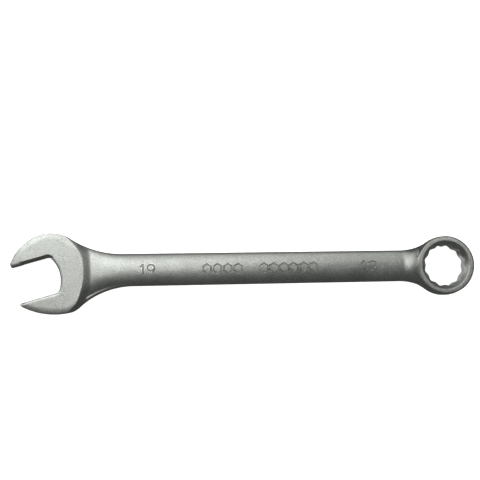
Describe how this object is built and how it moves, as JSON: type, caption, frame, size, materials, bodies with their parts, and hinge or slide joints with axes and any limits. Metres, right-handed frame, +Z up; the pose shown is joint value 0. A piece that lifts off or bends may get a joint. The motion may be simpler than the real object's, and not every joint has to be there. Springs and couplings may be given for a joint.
{
  "type": "combination wrench",
  "caption": "Combination wrench with an offset open end and a tilted twelve-point box end on an oval shank, satin chrome.",
  "frame": {"origin": "centre of the footprint, on the surface that the wrench lies on", "axes": "+X along the wrench from the open end to the box end, +Y across it to the side of the longer jaw, +Z up from the surface"},
  "size_m": [0.2376, 0.0418, 0.0144],
  "materials": {
    "satin_chrome": "bead-blasted satin chrome plate on forged steel, brighter along worn edges"
  },
  "bodies": {
    "root": {"open_end": "satin_chrome", "shank": "satin_chrome", "box_end": "satin_chrome"}
  },
  "joints": []
}
